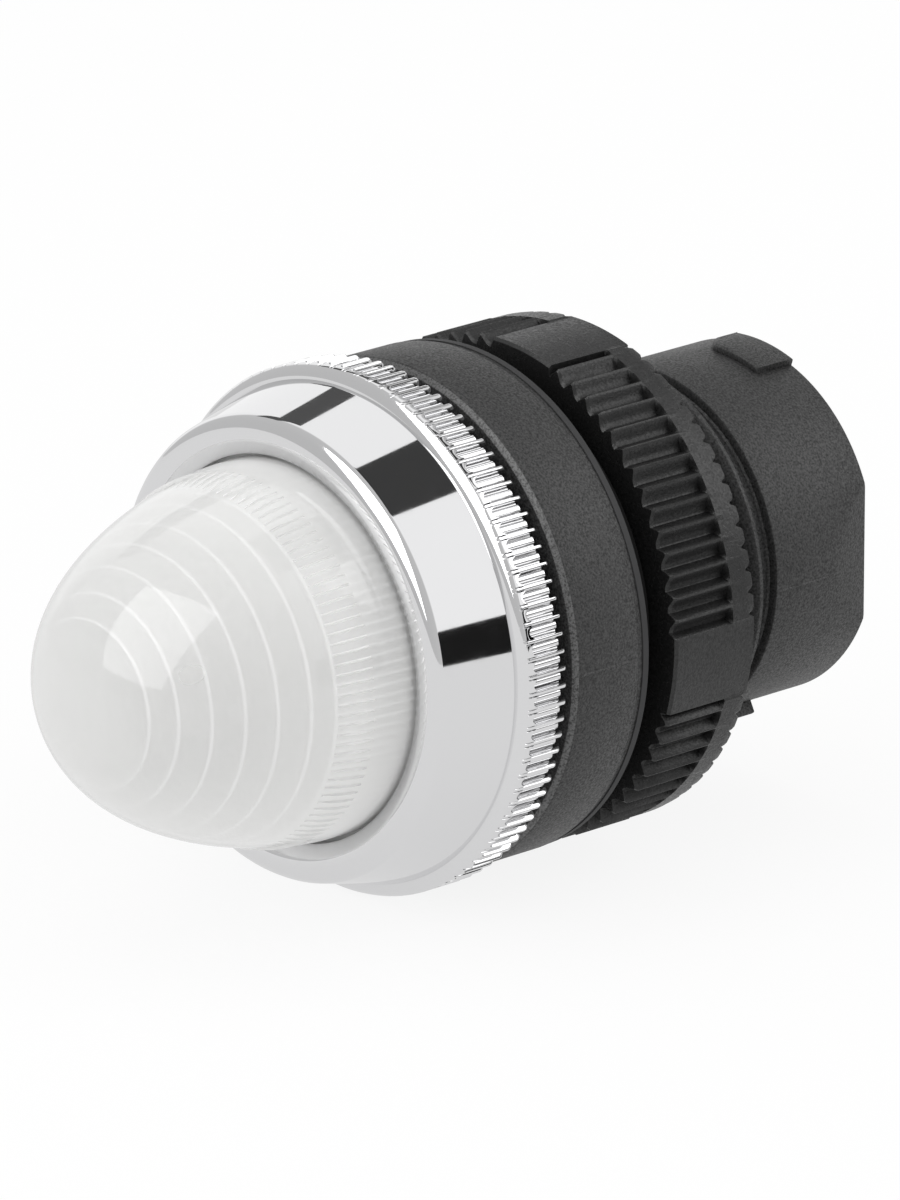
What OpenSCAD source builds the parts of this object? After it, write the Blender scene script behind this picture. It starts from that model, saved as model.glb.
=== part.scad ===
// Panel pilot light, 22 mm class, shown with its lock nut run part way up the neck.
// The axis lies along Y with the lens towards -Y, +Z is the key side of the
// mounting (up on the panel), and the origin is the centre of the seat that
// rests on the panel's front face. All sizes in mm.

/* [Neck and flange] */
// Radius over the neck's thread crests (22 mm panel hole)
neck_r = 11; // [10.8:0.05:11.1]
// Radius at the thread's roots
neck_root_r = 10.1; // [9.9:0.05:10.3]
// Pitch of the neck's thread
neck_pitch = 1.5; // [1:0.25:2]
// Plain land of the neck behind the seat, where the panel lies
neck_land = 1.7; // [1.2:0.1:2]
// Radius of the black flange
flange_r = 14.5; // [14:0.1:15]
// Thickness of the flange with its gasket
flange_t = 5.5; // [4.5:0.1:6]
// Chamfer on the flange's front edge
flange_chamfer = 0.4; // [0.2:0.05:0.6]
// Thickness of the panel gasket
gasket_t = 0.4; // [0.3:0.05:0.8]
// Width of the gasket's ring, in from the flange's edge
gasket_w = 2.2; // [1.8:0.05:2.4]

/* [Rear sleeve] */
// Where the rear sleeve starts behind the seat
sleeve_start = 13.95; // [13.7:0.05:14.1]
// Rear end of the sleeve
sleeve_end = 21.6; // [21.3:0.1:22]
// Radius of the sleeve
sleeve_r = 10.1; // [10:0.05:10.3]
// Radius over the mounting lug
lug_r = 10.65; // [10.5:0.05:10.8]
// Width of the upper lug in degrees
lug_deg = 26; // [20:1:40]
// Turn of the lug from the top in degrees
lug_at = 6; // [-20:1:20]
// Axial length of the upper lug
lug_len = 3; // [2:0.1:3.1]
// Radius over the lower key
key_r = 10.85; // [10.6:0.05:10.9]
// Width of the lower key in degrees
key_deg = 54; // [40:1:60]
// Start of the flat chamfer at each side of the sleeve
flat_start = 18.6; // [18:0.1:19.5]
// Depth of that chamfer at the sleeve's end
flat_depth = 0.87; // [0.5:0.01:1]

/* [Lock nut] */
// Distance of the nut's front face from the seat
nut_at = 2.2; // [2.1:0.05:3]
// Length of the nut
nut_len = 5.95; // [5.5:0.05:6.2]
// Radius over the nut's serrations
nut_r = 14.45; // [14.2:0.05:14.5]
// Depth of the serrations
tooth_depth = 0.56; // [0.4:0.02:0.8]
// Length of the serrations from the front
tooth_len = 4.15; // [3.5:0.05:4.4]
// Positions round the nut, the smooth patches included
nut_pitches = 72; // [60:4:76]
// Serrations left out at each of the four smooth patches
patch_skip = 3; // [2:1:4]
// Turn of the nut about its axis in degrees
nut_turned = 7.7; // [0:0.05:90]
// Width of the thin thrust washer's ring ahead of the nut
washer_w = 1.2; // [0.8:0.05:1.2]

/* [Bezel] */
// Front of the bezel's rounded lip
lip_front = 14.46; // [14.2:0.01:15]
// Radius of the bezel's front shoulder
shoulder_r = 13.14; // [13:0.02:13.3]
// Radius at the rear of the polished band
band_r = 14.15; // [14:0.05:14.3]
// Distance of that band's rear edge from the seat
band_end = 9.69; // [9.4:0.01:10]
// Radius over the knurl
knurl_r = 14.95; // [14.8:0.05:15.1]
// Depth of the knurl
knurl_depth = 0.45; // [0.3:0.05:0.5]
// Number of knurl grooves
knurl_n = 96; // [80:4:100]
// Width of one groove
groove_w = 0.66; // [0.5:0.02:0.7]
// Rear face of the bezel from the seat
bezel_rear = 6.0; // [5.9:0.05:6.3]
// Radius of the bezel's threaded boss on the housing
boss_r = 12.2; // [12:0.05:12.3]

/* [Lens] */
// Radius of the lens at the bezel
lens_r = 10.7; // [10.4:0.05:10.75]
// Height of the dome in front of the bezel
lens_h = 14.9; // [13:0.1:16]
// Wall of the dome
lens_wall = 1.25; // [1.1:0.05:1.4]
// Number of fine ribs inside the lens
lens_ribs = 112; // [80:4:120]

/* [Lamp] */
// Radius of the lamp's bayonet cap
cap_r = 4.6; // [4.5:0.05:4.65]
// Radius of the lamp's envelope
bulb_r = 5; // [4.8:0.1:5.2]
// How far the lamp pushes in against its contact spring
push = 1.4; // [1:0.1:1.4]
// How far the lamp turns in the bayonet, in degrees
twist = 30; // [20:1:35]

/* [Hidden] */
run = 0.05;                       // running clearance on round fits
fa = 96;                          // smoothness
seat_gap = 0.05;
nut_bore = neck_r + run;
boss_front = 11.6;
bezel_bore = boss_r + run;
foot_front = 13.3;                // lens foot, front face
foot_rear = 12.2;                 // lens foot, rear face
dome_base = 14.17;
pitch_deg = 360 / nut_pitches;
washer_t = 0.6;
bore_r = 8.2;
rear_bore_r = 8.9;
shell_in = 4.75;
shell_out = 5.25;
shell_front = 3.4;
pin_y = 5.4;
boss_in = 10.9;                   // bore of the boss, under the lens seal
bulb_at = -5.5;                   // centre of the lamp's round end
cap_at = 1.8;                     // front of the lamp's cap
cap_end = 11.3;                   // rear of the lamp's cap
clamp_t = 0.7;
pin_r = 0.95;
carrier_front = 12.6;
carrier_floor = 14;
carrier_rear = 18.5;
tag_t = 0.6;
head_at = carrier_rear + tag_t + clamp_t + 0.04;  // underside of the screw heads
screw_x = 5.4;

// Local Z becomes the light's own axis, Y.
module on_axis() { rotate([-90, 0, 0]) children(); }
// A turned piece from points given as [radius, distance along Y].
module turned(pts) { on_axis() rotate_extrude($fn = fa) polygon(pts); }
// Places a piece drawn along local +X at an angle from the top, towards +X.
module at_angle(t) { on_axis() rotate([0, 0, t - 90]) children(); }
// A sector of a plate, used to keep part of a ring.
module sector(r, a) { polygon(concat([[0, 0]], [for (i = [0:8]) let (t = -a / 2 + a * i / 8) [r * cos(t), r * sin(t)]])); }
function arc(cx, cy, r, a0, a1, n) = [for (i = [0:n]) let (t = a0 + (a1 - a0) * i / n) [cx + r * cos(t), cy + r * sin(t)]];

// The dome's outer profile: full near the base and drawn in towards the nose.
function dome_r(s) = lens_r * pow(1 - pow(s, 1.64), 1 / 2.43);
dome_s = [for (i = [0:26]) sin(90 * i / 26)];
// The stepped inside of the dome: each step is a short drum with a face across.
step_s = [0.31, 0.405, 0.5, 0.6, 0.695, 0.78, 0.855, 0.915];
function step_in(i) = dome_r(step_s[i]) - lens_wall;

module lens() {
    color([0.93, 0.93, 0.91, 0.8]) difference() {
        turned(concat(
            [[0, -foot_rear], [boss_r - 0.1, -foot_rear], [boss_r - 0.1, -foot_front], [lens_r, -foot_front]],
            [for (s = dome_s) [s == 1 ? 0 : dome_r(s), -dome_base - lens_h * s]]));
        // stepped hollow
        turned(concat(
            [[0, -foot_rear + 1], [lens_r - lens_wall, -foot_rear + 1]],
            [[lens_r - lens_wall, -dome_base - 0.1]],
            [[lens_r - lens_wall - 0.2, -dome_base - lens_h * step_s[0]]],
            [for (i = [0:len(step_s) - 2], k = [0, 1])
                [step_in(k == 0 ? i : i) - (k == 0 ? 0.28 : 0.34), -dome_base - lens_h * step_s[i + k]]],
            [[0, -dome_base - lens_h * step_s[len(step_s) - 1]]]));
        // fine ribs round the lower part of the hollow
        on_axis() translate([0, 0, -dome_base - lens_h * step_s[0] + 0.1]) linear_extrude(height = lens_h * step_s[0] + 0.1)
            polygon([for (i = [0:2 * lens_ribs - 1]) let (r = lens_r - lens_wall + (i % 2 == 0 ? 0.22 : -0.1), t = 180 * i / lens_ribs) [r * cos(t), r * sin(t)]]);
    }
}

module bezel() {
    color([0.82, 0.83, 0.85]) difference() {
        turned(concat(
            [[bezel_bore, -bezel_rear], [bezel_bore, -foot_front - seat_gap], [lens_r + 0.2, -foot_front - seat_gap],
             [lens_r + 0.2, -13.95], [11.66, -lip_front + 0.06]],
            [for (p = arc(shoulder_r - 1.14, -lip_front + 0.57, 0.57, 270, 270, 1)) [p[0] - 0.1, p[1]]],
            [[12.3, -lip_front + 0.015], [12.6, -lip_front + 0.08], [12.85, -lip_front + 0.19], [13.03, -lip_front + 0.35], [shoulder_r, -lip_front + 0.57]],
            [[band_r, -band_end]],
            [[band_r + 0.1, -band_end], [band_r + 0.42, -band_end + 0.1], [knurl_r - 0.12, -band_end + 0.28], [knurl_r, -band_end + 0.5]],
            [[knurl_r, -bezel_rear - 0.45], [knurl_r - 0.12, -bezel_rear - 0.15], [knurl_r - 0.4, -bezel_rear]]));
        // knurl: straight grooves with round front ends, open at the rear
        for (i = [0:knurl_n - 1]) at_angle(i * 360 / knurl_n + 2.1) {
            translate([knurl_r - knurl_depth, -groove_w / 2, -band_end + 0.95]) cube([1, groove_w, 6]);
            translate([knurl_r - knurl_depth, 0, -band_end + 0.95]) rotate([0, 90, 0]) cylinder(r = groove_w / 2, h = 1, $fn = 24);
        }
        // relief inside the rear edge
        turned([[boss_r - 1, -bezel_rear - 0.3], [bezel_bore, -bezel_rear - 0.3], [bezel_bore + 0.35, -bezel_rear + 0.1], [boss_r - 1, -bezel_rear + 0.1]]);
    }
}

// One ring of the neck's thread, with a narrow flat crest.
function crest(y) = [[neck_root_r, y - 0.6], [neck_r, y - 0.14], [neck_r, y + 0.14], [neck_root_r, y + 0.6]];
crest_last = 11.9;
crest_n = 7;

module housing() {
    color([0.1, 0.1, 0.11]) difference() {
        union() {
            turned(concat(
                [[boss_in, -boss_front], [boss_r - 0.25, -boss_front], [boss_r, -boss_front + 0.25], [boss_r, -6.3],
                 [boss_r - 0.25, -6.05], [boss_r - 0.25, -flange_t], [flange_r - flange_chamfer, -flange_t],
                 [flange_r, -flange_t + flange_chamfer], [flange_r, -gasket_t - 0.4], [flange_r - 0.12, -gasket_t - 0.36],
                 [flange_r - 0.12, -gasket_t], [neck_root_r + 0.3, -gasket_t], [neck_root_r + 0.3, 0], [neck_r, 0],
                 [neck_r, neck_land], [neck_root_r, neck_land + 0.4]],
                [for (i = [crest_n - 1:-1:0], p = crest(crest_last - i * neck_pitch)) if (p[1] > neck_land + 0.45) p],
                [[neck_root_r - 0.15, 12.75], [neck_root_r - 0.15, sleeve_start], [sleeve_r - 0.15, sleeve_start],
                 [sleeve_r, sleeve_start + 0.15], [sleeve_r, sleeve_end - 0.12], [sleeve_r - 0.12, sleeve_end],
                 [rear_bore_r, sleeve_end], [rear_bore_r, 12.5], [bore_r, 12.5], [bore_r, -4], [boss_in, -4.6]]));
            // upper lug of the bayonet mounting, flush with the sleeve's end
            at_angle(lug_at) translate([0, 0, sleeve_end - lug_len]) intersection() {
                difference() {
                    cylinder(r = lug_r, h = lug_len, $fn = fa);
                    translate([0, 0, -1]) cylinder(r = sleeve_r - 0.5, h = lug_len + 2, $fn = fa);
                }
                linear_extrude(height = lug_len) sector(16, lug_deg);
            }
            // lower key
            at_angle(180) translate([0, 0, sleeve_start + 0.5]) intersection() {
                difference() {
                    cylinder(r = key_r, h = 2.9, $fn = fa);
                    translate([0, 0, -1]) cylinder(r = sleeve_r - 0.5, h = 5, $fn = fa);
                }
                linear_extrude(height = 2.9) sector(16, key_deg);
            }
        }
        // flat chamfers at the two sides of the sleeve's end
        for (s = [90, 270]) at_angle(s) translate([sleeve_r, 0, flat_start])
            rotate([0, -atan(flat_depth / (sleeve_end - flat_start)), 0]) translate([0, -8, -1]) cube([3, 16, 8]);
        // groove for the carrier's snap noses
        turned([[rear_bore_r - 1, 15.2], [rear_bore_r + 0.3, 15.2], [rear_bore_r + 0.3, 16.4], [rear_bore_r - 1, 16.4]]);
    }
}

module lens_seal() {
    color([0.2, 0.2, 0.21]) turned([[boss_in + 0.05, -boss_front], [boss_r - 0.15, -boss_front], [boss_r - 0.15, -foot_rear + 0.02], [boss_in + 0.05, -foot_rear + 0.02]]);
}

module panel_gasket() {
    color([0.15, 0.15, 0.16]) turned([[flange_r - gasket_w, -gasket_t], [flange_r - 0.05, -gasket_t], [flange_r - 0.05, 0], [flange_r - gasket_w, 0]]);
}

module thrust_washer() {
    color([0.18, 0.18, 0.19]) turned([[nut_bore, nut_at - seat_gap - washer_t], [nut_bore + washer_w, nut_at - seat_gap - washer_t],
        [nut_bore + washer_w, nut_at - seat_gap], [nut_bore, nut_at - seat_gap]]);
}

// Which serration positions are kept: the last of each quarter give way to the patch.
quarter = nut_pitches / 4;
function kept(i) = (i % quarter) < quarter - patch_skip;
// V form: narrow crest, flank, narrow root and a slightly longer flank.
function tooth(i, off) = let (t = off + i * pitch_deg, p = pitch_deg, r0 = nut_r - tooth_depth) [
    [nut_r - 0.02, t - 0.07 * p], [nut_r, t + 0.05 * p], [r0 + 0.03, t + 0.38 * p], [r0, t + 0.5 * p], [nut_r - 0.3, t + 0.75 * p]];
function polar(list) = [for (q = list) [q[0] * cos(q[1]), q[0] * sin(q[1])]];
nut_off = (patch_skip + 1) / 2 * pitch_deg;

module lock_nut() {
    patch_r = nut_r - 0.12;
    wall = nut_r - tooth_depth - nut_bore;
    front_in = min(0.55, wall / 3);
    rear_in = min(0.9, wall / 2);
    serr = [for (i = [0:nut_pitches - 1], q = kept(i) && kept(i + 1 == nut_pitches ? 0 : i + 1) ? tooth(i, nut_off)
            : kept(i) ? [[nut_r - 0.02, nut_off + (i - 0.06) * pitch_deg], [nut_r, nut_off + (i + 0.06) * pitch_deg], [patch_r, nut_off + (i + 0.2) * pitch_deg], [patch_r, nut_off + (i + 0.6) * pitch_deg]]
            : [[patch_r, nut_off + (i - 0.3) * pitch_deg], [patch_r, nut_off + i * pitch_deg], [patch_r, nut_off + (i + 0.3) * pitch_deg], [patch_r, nut_off + (i + 0.55) * pitch_deg]]) q];
    // lobes of the rear edge: one behind each groove, with the notches in line with the crests
    lobes = [for (i = [0:nut_pitches - 1], k = [0, 0.08, 0.25, 0.5, 0.75, 0.92])
        let (on = kept(i) && kept((i + 1) % nut_pitches)) [on ? nut_r - 0.1 - (k == 0 ? 0.46 : 1.2 * (k - 0.5) * (k - 0.5)) : nut_r - 0.45, nut_off + (i + k) * pitch_deg]];
    color([0.12, 0.12, 0.13]) difference() {
        translate([0, nut_at, 0]) on_axis() rotate([0, 0, nut_turned - 90]) {
            linear_extrude(height = tooth_len + 0.02) polygon(polar(serr));
            translate([0, 0, tooth_len]) intersection() {
                cylinder(r = nut_r - 0.05, h = nut_len - tooth_len - 0.45, $fn = fa);
                linear_extrude(height = nut_len) polygon(polar([for (i = [0:nut_pitches - 1], k = [-0.5, 0]) [kept(i) ? nut_r + 0.5 : patch_r, nut_off + (i + k) * pitch_deg]]));
            }
            translate([0, 0, nut_len - 0.46]) linear_extrude(height = 0.46) polygon(polar(lobes));
        }
        turned([[0, nut_at - 1], [nut_bore, nut_at - 1], [nut_bore, nut_at + nut_len + 1], [0, nut_at + nut_len + 1]]);
        turned([[neck_r - 1, nut_at - 0.1], [nut_bore + front_in, nut_at - 0.1], [nut_bore - 0.1, nut_at + 0.5], [neck_r - 1, nut_at + 0.5]]);
        turned([[neck_r - 1, nut_at + nut_len + 0.1], [nut_bore + rear_in, nut_at + nut_len + 0.1], [nut_bore + rear_in * 0.78, nut_at + nut_len - 0.25], [nut_bore - 0.1, nut_at + nut_len - 0.8], [neck_r - 1, nut_at + nut_len - 0.8]]);
    }
}

module lamp_bulb() {
    color([0.95, 0.95, 0.92, 0.6]) difference() {
        union() {
            turned([[0, bulb_at], [bulb_r, bulb_at], [bulb_r, cap_at], [0, cap_at]]);
            translate([0, bulb_at, 0]) sphere(r = bulb_r, $fn = fa);
        }
        turned([[0, bulb_at + 1.5], [bulb_r - 0.7, bulb_at + 1.5], [bulb_r - 0.7, cap_at + 0.2], [0, cap_at + 0.2]]);
    }
}

module lamp_board() {
    color([0.1, 0.35, 0.2]) turned([[0, cap_at - 1.6], [bulb_r - 0.75, cap_at - 1.6], [bulb_r - 0.75, cap_at - 0.8], [0, cap_at - 0.8]]);
}

module lamp_leds() {
    color([0.95, 0.9, 0.6]) for (p = [[0, 0], [2.3, 0], [-2.3, 0], [0, 2.3], [0, -2.3]])
        translate([p[0] - 0.7, cap_at - 2.4, p[1] - 0.7]) cube([1.4, 0.8, 1.4]);
}

module lamp_cap() {
    color([0.75, 0.65, 0.35]) difference() {
        union() {
            turned([[0, cap_at], [cap_r, cap_at], [cap_r, cap_end - 0.4], [cap_r - 0.5, cap_end], [0, cap_end]]);
            for (s = [90, 270]) at_angle(s) translate([0, 0, pin_y]) rotate([0, 90, 0]) cylinder(r = pin_r, h = 5.7, $fn = 32);
        }
        turned([[0, cap_at - 0.8], [cap_r - 0.4, cap_at - 0.8], [cap_r - 0.4, cap_end - 0.7], [cap_r - 1.2, cap_end - 0.7], [cap_r - 1.2, cap_end + 0.7], [0, cap_end + 0.7]]);
    }
}

module lamp_insulator() {
    color([0.08, 0.08, 0.1]) turned([[1.2, cap_end - 0.9], [cap_r - 0.45, cap_end - 0.9], [cap_r - 0.45, cap_end - 0.7],
        [cap_r - 1.25, cap_end - 0.7], [cap_r - 1.25, cap_end + 0.05], [2, cap_end + 0.3], [1.2, cap_end + 0.3]]);
}

module lamp_tip() {
    color([0.7, 0.7, 0.72]) turned([[0, cap_end - 0.9], [1.15, cap_end - 0.9], [1.15, cap_end + 0.3], [1.7, cap_end + 0.3], [1.7, cap_end + 0.45], [1.2, cap_end + 0.7], [0, cap_end + 0.7]]);
}

module socket_shell() {
    color([0.78, 0.66, 0.36]) difference() {
        turned([[shell_in, shell_front], [shell_out, shell_front], [shell_out, carrier_floor], [shell_in - 1.1, carrier_floor], [shell_in - 1.1, carrier_floor - 0.5], [shell_in, carrier_floor - 0.5]]);
        // slanted bayonet slots, each let out at the front edge
        for (s = [90, 270]) {
            for (k = [0:8]) at_angle(s - twist * k / 8) translate([shell_in - 0.4, 0, pin_y + push * k / 8]) rotate([0, 90, 0]) cylinder(r = pin_r + 0.2, h = 1.5, $fn = 32);
            at_angle(s - twist) translate([shell_in - 0.4, -pin_r - 0.2, shell_front - 1]) cube([1.5, 2 * pin_r + 0.4, pin_y + push - shell_front + 1]);
        }
    }
}

module socket_carrier() {
    color([0.85, 0.83, 0.76]) difference() {
        union() {
            turned([[0, carrier_front], [rear_bore_r - 0.05, carrier_front], [rear_bore_r - 0.05, carrier_rear], [0, carrier_rear]]);
            // barriers between the two terminals
            for (s = [0, 180]) at_angle(s) translate([3, -0.6, carrier_rear - 0.1]) cube([5.3, 1.2, 2.1]);
            // snap noses
            for (s = [0, 180]) at_angle(s) intersection() {
                translate([0, 0, 15.35]) cylinder(r = rear_bore_r + 0.2, h = 0.9, $fn = fa);
                translate([4, -1.6, 15]) cube([6, 3.2, 2]);
            }
        }
        turned([[0, carrier_front - 1], [shell_out + 0.05, carrier_front - 1], [shell_out + 0.05, carrier_floor], [0, carrier_floor]]);
        // pocket of the contact spring
        turned([[0, carrier_floor - 1], [2.2, carrier_floor - 1], [2.2, carrier_rear + 1], [0, carrier_rear + 1]]);
        // passage of the shell's leg, and the screw holes
        at_angle(220) translate([4.45, -1.3, carrier_floor - 1]) cube([0.9, 2.6, 6]);
        for (s = [90, 270]) at_angle(s) translate([screw_x, 0, 14.6]) cylinder(r = 1.5, h = 6, $fn = 40);
    }
}

module contact_plunger() {
    color([0.8, 0.68, 0.38]) turned([[0, cap_end + 0.72], [1.2, cap_end + 0.72], [1.75, cap_end + 0.95], [1.75, cap_end + 1.5],
        [1, cap_end + 1.5], [1, carrier_rear + 0.8], [0.8, carrier_rear + 1], [0, carrier_rear + 1]]);
}

// Coil of the contact spring: one ring per turn, joined by its own slope left out.
module contact_spring() {
    color([0.7, 0.7, 0.72]) {
        difference() {
            turned([[1.15, cap_end + 1.5], [1.75, cap_end + 1.5], [1.75, carrier_rear], [1.15, carrier_rear]]);
            for (i = [0:5]) let (y = cap_end + 1.8 + i * 0.95) turned([[1.5, y], [2.5, y], [2.5, y + 0.55], [1.5, y + 0.55]]);
        }
    }
}

module tag_plate(side) {
    // strip round one screw, drawn in the XZ plane on the carrier's rear face
    difference() {
        translate([side > 0 ? 3 : -7.7, carrier_rear, -2.4]) cube([4.7, tag_t, 4.8]);
        translate([side * screw_x, carrier_rear - 1, 0]) rotate([-90, 0, 0]) cylinder(r = 1.6, h = 4, $fn = 40);
    }
}

module centre_terminal() {
    color([0.8, 0.7, 0.42]) difference() {
        union() {
            tag_plate(1);
            translate([0, carrier_rear, -2.3]) cube([3.1, tag_t, 4.6]);
            translate([0, carrier_rear, 0]) rotate([-90, 0, 0]) cylinder(r = 2.3, h = tag_t, $fn = 48);
        }
        translate([0, carrier_rear - 1, 0]) rotate([-90, 0, 0]) cylinder(r = 1.05, h = 4, $fn = 40);
    }
}

module shell_terminal() {
    color([0.8, 0.7, 0.42]) {
        tag_plate(-1);
        translate([-5, carrier_rear, -4.7]) cube([2, tag_t, 3]);
        at_angle(220) translate([4.6, -1.1, carrier_floor]) cube([0.6, 2.2, carrier_rear + tag_t - carrier_floor]);
    }
}

module terminal_clamps() {
    color([0.68, 0.69, 0.7]) for (s = [-1, 1]) difference() {
        translate([s * screw_x - 2.1, carrier_rear + tag_t + 0.02, -2.1]) cube([4.2, clamp_t, 4.2]);
        translate([s * screw_x, carrier_rear, 0]) rotate([-90, 0, 0]) cylinder(r = 1.6, h = 4, $fn = 40);
    }
}

module terminal_screws() {
    color([0.72, 0.73, 0.74]) for (s = [-1, 1]) translate([s * screw_x, 0, 0]) difference() {
        turned([[0, carrier_rear - 3.5], [1.2, carrier_rear - 3.5], [1.45, carrier_rear - 3.1], [1.45, head_at],
            [2.2, head_at], [2.2, head_at + 1.06], [1.9, head_at + 1.31], [0, head_at + 1.31]]);
        translate([-3, head_at + 0.66, -0.3]) cube([6, 2, 0.6]);
        translate([-0.3, head_at + 0.66, -1.3]) cube([0.6, 2, 2.6]);
    }
}

lens();
bezel();
housing();
lens_seal();
panel_gasket();
thrust_washer();
lock_nut();
lamp_bulb();
lamp_leds();
lamp_board();
lamp_cap();
lamp_insulator();
lamp_tip();
socket_shell();
socket_carrier();
contact_plunger();
contact_spring();
centre_terminal();
shell_terminal();
terminal_clamps();
terminal_screws();
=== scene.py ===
import math

import bmesh
import bpy
from mathutils import Matrix, Vector


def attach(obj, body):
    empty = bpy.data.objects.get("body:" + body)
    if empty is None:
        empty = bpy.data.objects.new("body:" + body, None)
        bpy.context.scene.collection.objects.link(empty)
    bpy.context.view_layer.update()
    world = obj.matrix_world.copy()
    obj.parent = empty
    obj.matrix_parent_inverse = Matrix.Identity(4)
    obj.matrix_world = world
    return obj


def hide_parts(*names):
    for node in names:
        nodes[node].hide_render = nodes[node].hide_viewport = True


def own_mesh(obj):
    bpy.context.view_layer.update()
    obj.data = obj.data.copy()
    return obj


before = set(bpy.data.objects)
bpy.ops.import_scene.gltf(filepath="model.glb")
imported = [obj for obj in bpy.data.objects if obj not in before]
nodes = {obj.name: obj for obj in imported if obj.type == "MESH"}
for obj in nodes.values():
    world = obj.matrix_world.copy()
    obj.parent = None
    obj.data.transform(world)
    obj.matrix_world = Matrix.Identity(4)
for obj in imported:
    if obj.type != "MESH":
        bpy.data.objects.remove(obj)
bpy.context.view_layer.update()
mm = 0.001
weldGap = 0.0004 * mm
print("frame loaded:", len(nodes), "nodes")


def toLinear(hexColour):
    channels = [int(hexColour[i:i + 2], 16) / 255 for i in (0, 2, 4)]
    return [c / 12.92 if c <= 0.04045 else ((c + 0.055) / 1.055) ** 2.4 for c in channels] + [1.0]


def addNode(tree, kind, settings=None, links=None):
    node = tree.nodes.new(kind)
    for key, value in (settings or {}).items():
        if isinstance(key, str) and hasattr(node, key) and key not in node.inputs:
            setattr(node, key, value)
        else:
            node.inputs[key].default_value = value
    for key, source in (links or {}).items():
        tree.links.new(source, node.inputs[key])
    return node


def newMaterial(name):
    material = bpy.data.materials.new(name)
    material.use_nodes = True
    material.node_tree.nodes.clear()
    return material, material.node_tree


def chromePlating():
    # bright chrome over moulded plastic: mirror clear, with faint waves and a trace of haze
    material, tree = newMaterial("chromePlating")
    place = {"Vector": addNode(tree, "ShaderNodeTexCoord").outputs["Object"]}
    wave = addNode(tree, "ShaderNodeTexNoise", {"Scale": 1 / (6.25 * mm), "Detail": 1.0}, place)
    haze = addNode(tree, "ShaderNodeTexNoise", {"Scale": 1 / (1.11 * mm), "Detail": 4.0}, place)
    rough = addNode(tree, "ShaderNodeMapRange",
                    {"From Min": 0.3, "From Max": 0.8, "To Min": 0.035, "To Max": 0.075},
                    {"Value": haze.outputs["Fac"]})
    bump = addNode(tree, "ShaderNodeBump", {"Strength": 0.12, "Distance": 0.02 * mm},
                   {"Height": wave.outputs["Fac"]})
    # painted shade: the chrome's colour is darkened at the bottom of tight channels, where shade falls
    shelter = addNode(tree, "ShaderNodeAmbientOcclusion", {"Distance": 0.5 * mm})
    paintedChannelShade = addNode(tree, "ShaderNodeMapRange",
                   {"From Min": 0.2, "From Max": 0.75, "To Min": 0.62, "To Max": 1.0},
                   {"Value": shelter.outputs["AO"]})
    plateWithShade = addNode(tree, "ShaderNodeMix",
                    {"data_type": "RGBA", "blend_type": "MULTIPLY", 0: 1.0, 6: toLinear("E9E9EA")},
                    {7: paintedChannelShade.outputs["Result"]})
    shader = addNode(tree, "ShaderNodeBsdfPrincipled", {"Metallic": 1.0},
                     {"Base Color": plateWithShade.outputs[2], "Roughness": rough.outputs["Result"],
                      "Normal": bump.outputs["Normal"]})
    addNode(tree, "ShaderNodeOutputMaterial", None, {"Surface": shader.outputs["BSDF"]})
    return material


def sparkErodedPlastic(name, colour, roughness, grainMm, depthMm):
    # black nylon from a spark-eroded mould: a fine even grain that greys where light grazes it
    material, tree = newMaterial(name)
    place = {"Vector": addNode(tree, "ShaderNodeTexCoord").outputs["Object"]}
    grain = addNode(tree, "ShaderNodeTexNoise",
                    {"Scale": 1 / (grainMm * mm), "Detail": 3.0, "Roughness": 0.6}, place)
    mottle = addNode(tree, "ShaderNodeTexNoise", {"Scale": 1 / (8.33 * mm), "Detail": 2.0}, place)
    soft = addNode(tree, "ShaderNodeMapRange",
                   {"From Min": 0.3, "From Max": 0.7, "To Min": 0.96, "To Max": 1.05},
                   {"Value": mottle.outputs["Fac"]})
    fleck = addNode(tree, "ShaderNodeMapRange",
                    {"From Min": 0.35, "From Max": 0.65, "To Min": 0.25, "To Max": 2.0},
                    {"Value": grain.outputs["Fac"]})
    tone = addNode(tree, "ShaderNodeMath", {"operation": "MULTIPLY"},
                   {0: soft.outputs["Result"], 1: fleck.outputs["Result"]})
    paint = addNode(tree, "ShaderNodeMix",
                    {"data_type": "RGBA", "blend_type": "MULTIPLY", 0: 1.0, 6: toLinear(colour)},
                    {7: tone.outputs[0]})
    rough = addNode(tree, "ShaderNodeMapRange",
                    {"From Min": 0.35, "From Max": 0.65,
                     "To Min": roughness + 0.12, "To Max": roughness - 0.1},
                    {"Value": grain.outputs["Fac"]})
    bump = addNode(tree, "ShaderNodeBump", {"Strength": 0.9, "Distance": depthMm * mm},
                   {"Height": grain.outputs["Fac"]})
    # painted shade: the gloss is turned down in corners and gaps, as they see little of the room
    shelter = addNode(tree, "ShaderNodeAmbientOcclusion", {"Distance": 1.3 * mm})
    gloss = addNode(tree, "ShaderNodeMapRange",
                    {"From Min": 0.3, "From Max": 0.9, "To Min": 0.06, "To Max": 0.5},
                    {"Value": shelter.outputs["AO"]})
    shader = addNode(tree, "ShaderNodeBsdfPrincipled", {"IOR": 1.5},
                     {"Base Color": paint.outputs[2], "Specular IOR Level": gloss.outputs["Result"],
                      "Roughness": rough.outputs["Result"], "Normal": bump.outputs["Normal"]})
    addNode(tree, "ShaderNodeOutputMaterial", None, {"Surface": shader.outputs["BSDF"]})
    return material


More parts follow.
